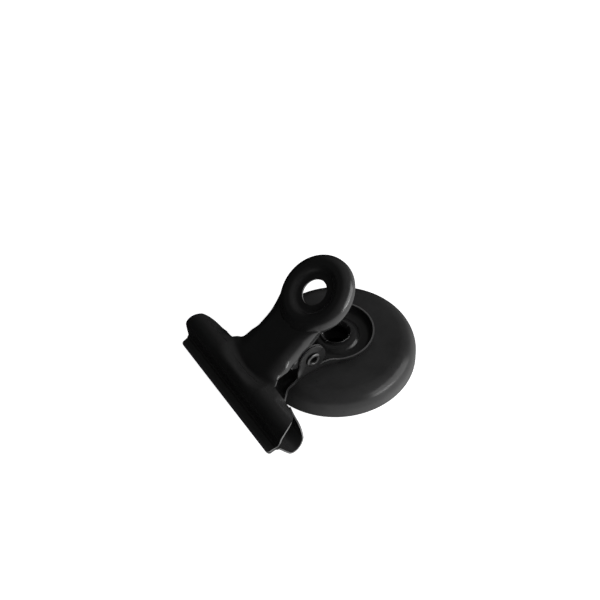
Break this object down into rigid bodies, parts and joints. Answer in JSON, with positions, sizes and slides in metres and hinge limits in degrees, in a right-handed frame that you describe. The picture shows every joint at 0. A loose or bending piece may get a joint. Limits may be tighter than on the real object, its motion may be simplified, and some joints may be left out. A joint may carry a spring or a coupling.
{
  "type": "magnetic clip",
  "caption": "Ring-handled spring clip of pressed black sheet, riveted by its lower handle to a round pot magnet so that the jaws reach past the magnet's edge.",
  "frame": {"origin": "middle of the overall box in X and Y, at the magnet's face that rests on the board", "axes": "+X from the magnet towards the jaws, +Y along the pivot pin and the lips, +Z away from the board"},
  "size_m": [0.066, 0.0538, 0.0386],
  "materials": {
    "cup_coating": "matt black coating with a faint grain",
    "ferrite": "dull sintered ferrite",
    "rivet_coating": "satin black",
    "leaf_paint": "satin black paint",
    "spring_steel": "dark drawn wire"
  },
  "bodies": {
    "lower": {"magnet_cup": "cup_coating", "magnet_ring": "ferrite", "magnet_rivet": "rivet_coating", "lower_leaf": "leaf_paint", "pivot_pin": "rivet_coating", "torsion_spring": "spring_steel"},
    "upper": {"upper_leaf": "leaf_paint"}
  },
  "joints": [
    {"name": "handle_squeeze", "type": "hinge", "parent": "lower", "child": "upper", "pos_m": [0.00675, 0, 0.0175], "axis": [0, -1, 0], "range_deg": [0, 54], "stiffness_Nm_per_rad": 0.3, "springref_deg": -68.75, "deforming": ["torsion_spring"]}
  ]
}
